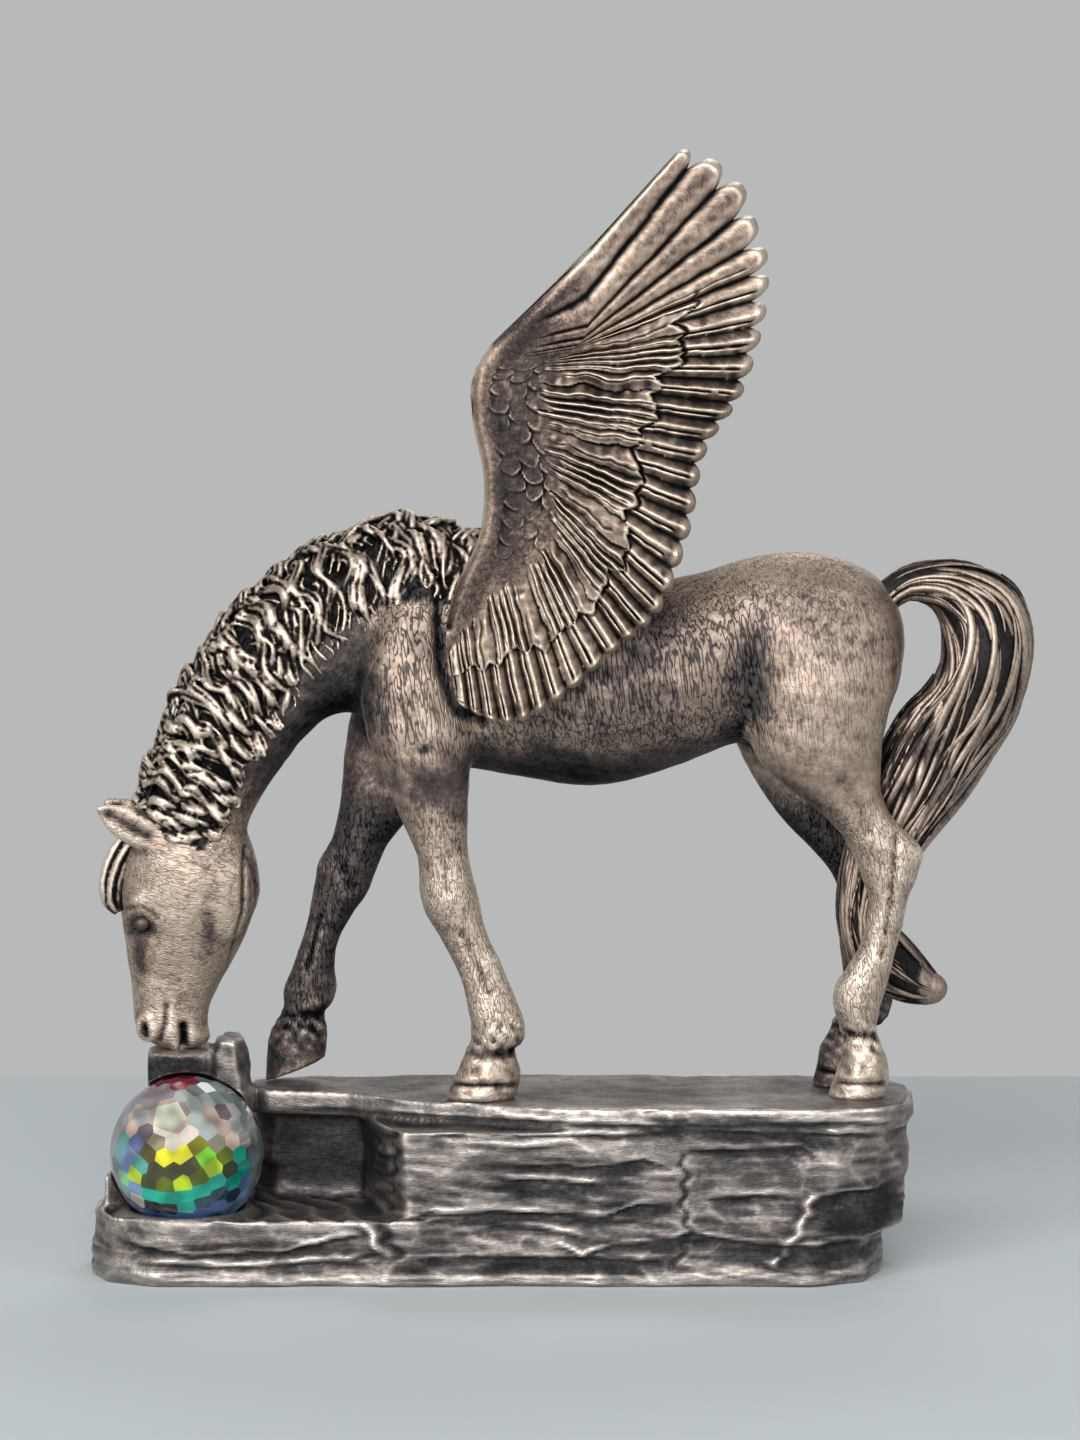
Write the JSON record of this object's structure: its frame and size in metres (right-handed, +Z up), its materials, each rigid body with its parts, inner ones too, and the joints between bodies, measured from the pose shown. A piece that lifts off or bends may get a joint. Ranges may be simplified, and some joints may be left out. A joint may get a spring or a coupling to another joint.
{
  "type": "winged horse figurine",
  "caption": "Cast pewter winged horse that lowers its head to a faceted crystal ball, on a layered rock base.",
  "frame": {"origin": "on the rock's flat underside, under the middle of the rock", "axes": "+Z up, +X from the horse's head to its tail, +Y to the horse's right, away from a viewer of its left side"},
  "size_m": [0.0736, 0.0194, 0.0875],
  "materials": {
    "pewter": "antiqued pewter, dark in the recesses",
    "crystal": "faceted, with a rainbow coating"
  },
  "bodies": {
    "root": {"rock_base": "pewter", "horse": "pewter", "near_wing": "pewter", "far_wing": "pewter", "crystal_ball": "crystal"}
  },
  "joints": []
}
